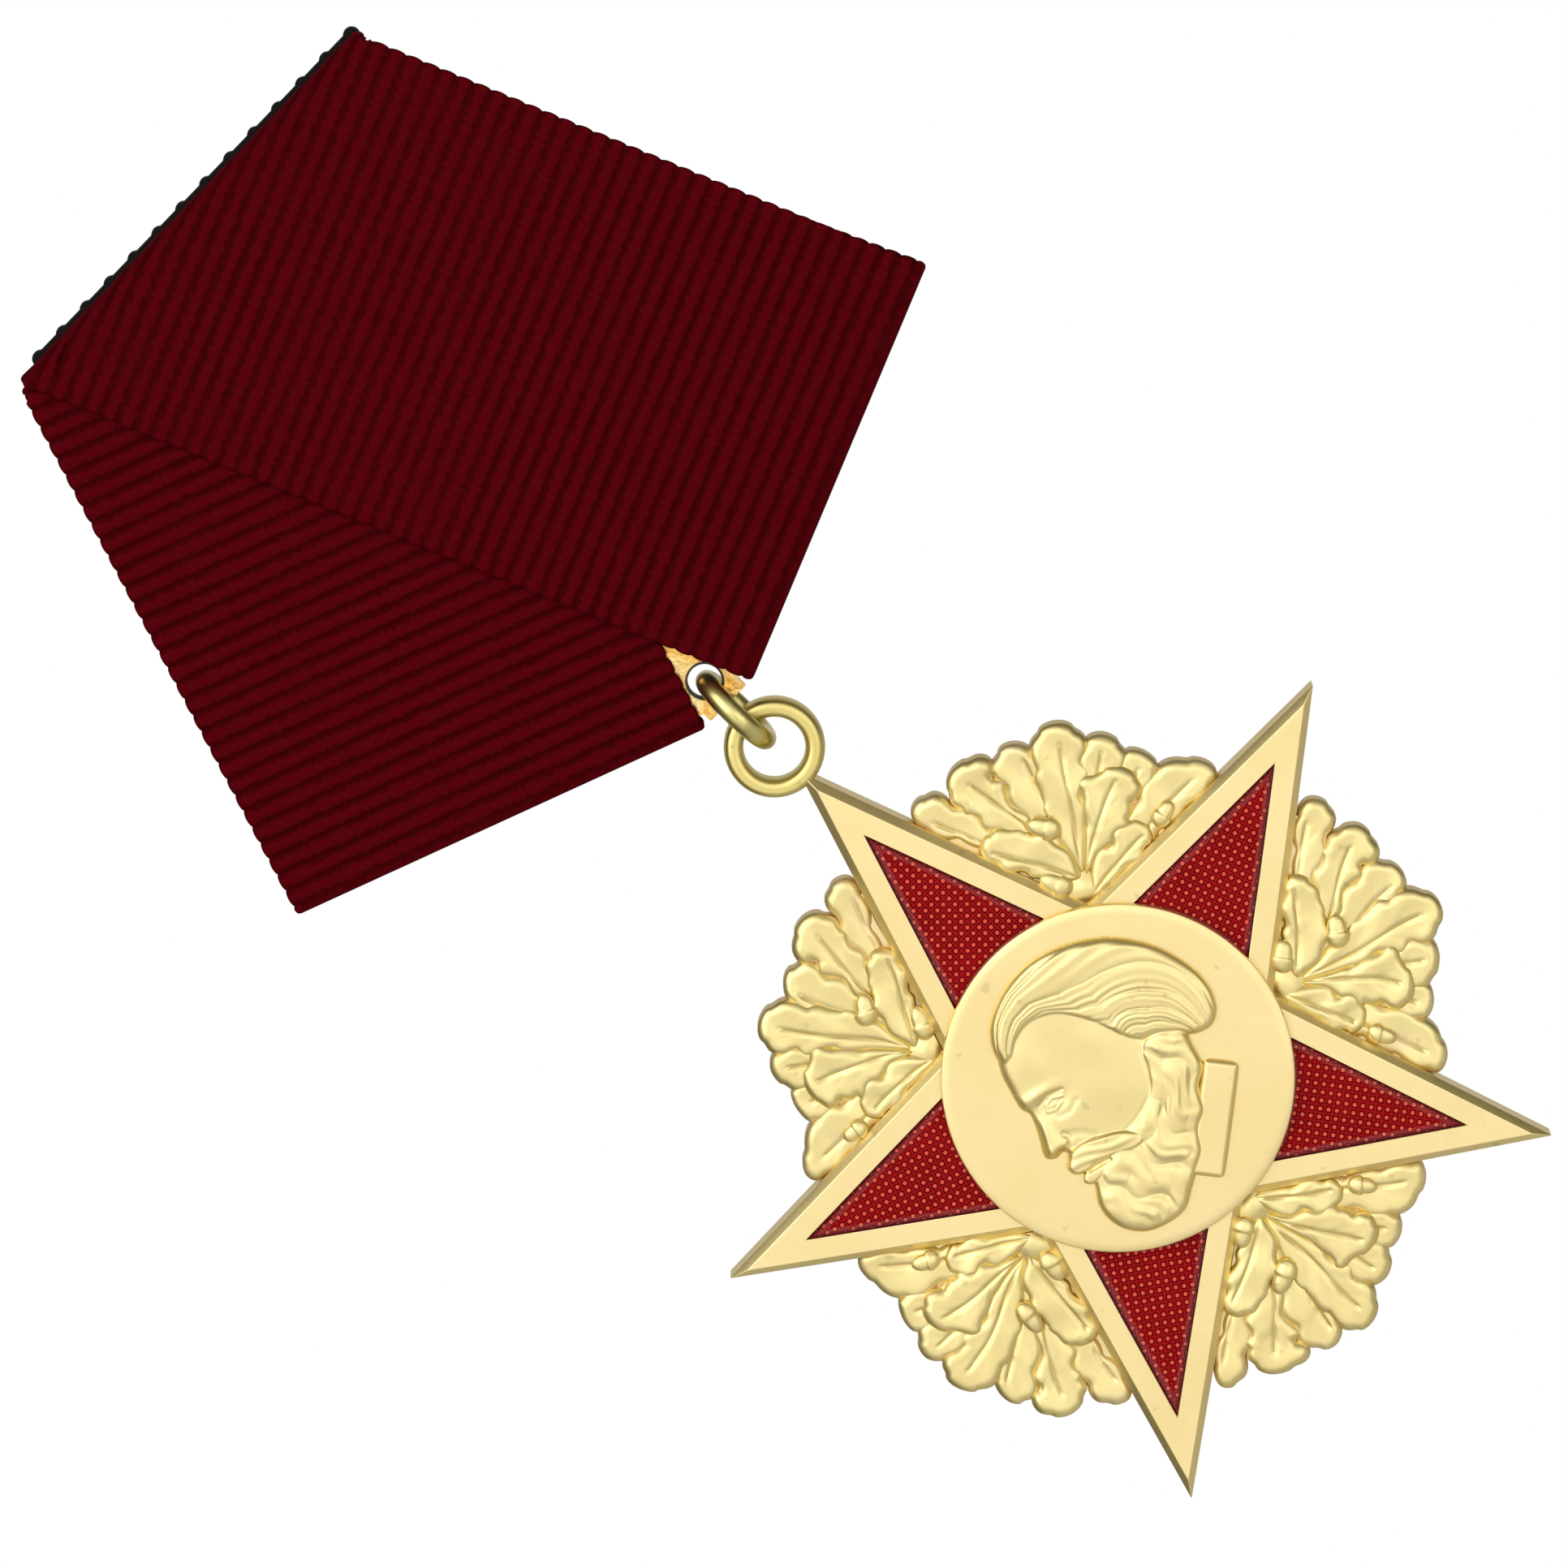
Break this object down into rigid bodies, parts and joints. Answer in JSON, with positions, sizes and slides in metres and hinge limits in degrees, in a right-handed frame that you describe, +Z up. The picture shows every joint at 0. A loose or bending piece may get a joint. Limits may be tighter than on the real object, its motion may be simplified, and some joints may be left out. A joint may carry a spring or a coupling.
{
  "type": "military service medal",
  "caption": "Pentagonal ribbon mount with brooch pin, carrying a gilt and red-enamel five-point star medal with oak-leaf sprays and a portrait medallion on a jump ring.",
  "frame": {"origin": "middle of the brooch needle, on its axis", "axes": "+X along the needle towards its tip, +Y out of the back of the medal, +Z up towards the ribbon's top edge"},
  "size_m": [0.0474, 0.0083, 0.086],
  "materials": {
    "crimson_ribbon": "ribbed grosgrain silk",
    "orange_gilt": "bright orange gilding",
    "black_lacquer": "black stoved lacquer",
    "gilt_brass": "satin",
    "nickel_steel": "satin nickel plate",
    "ring_brass": "polished",
    "matt_gilt": "matt pale gilding",
    "red_enamel": "glossy transparent enamel over a stamped ground"
  },
  "bodies": {
    "mount": {"ribbon": "crimson_ribbon", "suspension_plate": "orange_gilt", "back_plate": "black_lacquer", "plate_rivets": "gilt_brass", "brooch_bar": "nickel_steel", "bar_rivets": "nickel_steel", "hinge_rivet": "nickel_steel", "catch_housing": "nickel_steel"},
    "ring": {"jump_ring": "ring_brass"},
    "star": {"star_body": "matt_gilt", "eyelet": "matt_gilt", "medallion": "matt_gilt", "medallion_rivets": "gilt_brass", "enamel_1": "red_enamel", "enamel_2": "red_enamel", "enamel_3": "red_enamel", "enamel_4": "red_enamel", "enamel_5": "red_enamel", "oak_spray_1": "matt_gilt", "oak_spray_2": "matt_gilt", "oak_spray_3": "matt_gilt", "oak_spray_4": "matt_gilt", "oak_spray_5": "matt_gilt"},
    "needle": {"needle": "nickel_steel"},
    "lock": {"catch_lock": "nickel_steel"}
  },
  "joints": [
    {"name": "ring_swing", "type": "hinge", "parent": "mount", "child": "ring", "pos_m": [0, -0.00426, -0.03], "axis": [1, 0, 0], "range_deg": [-50, 50]},
    {"name": "star_swing", "type": "hinge", "parent": "ring", "child": "star", "pos_m": [0, -0.00426, -0.03287], "axis": [0, 1, 0], "range_deg": [-35, 35]},
    {"name": "needle_swing", "type": "hinge", "parent": "mount", "child": "needle", "pos_m": [-0.0115, 0, 0], "axis": [0, 0, 1], "range_deg": [0, 85]},
    {"name": "catch_roll", "type": "hinge", "parent": "mount", "child": "lock", "pos_m": [0.0109, 0, 0], "axis": [1, 0, 0], "range_deg": [-110, 0]}
  ]
}
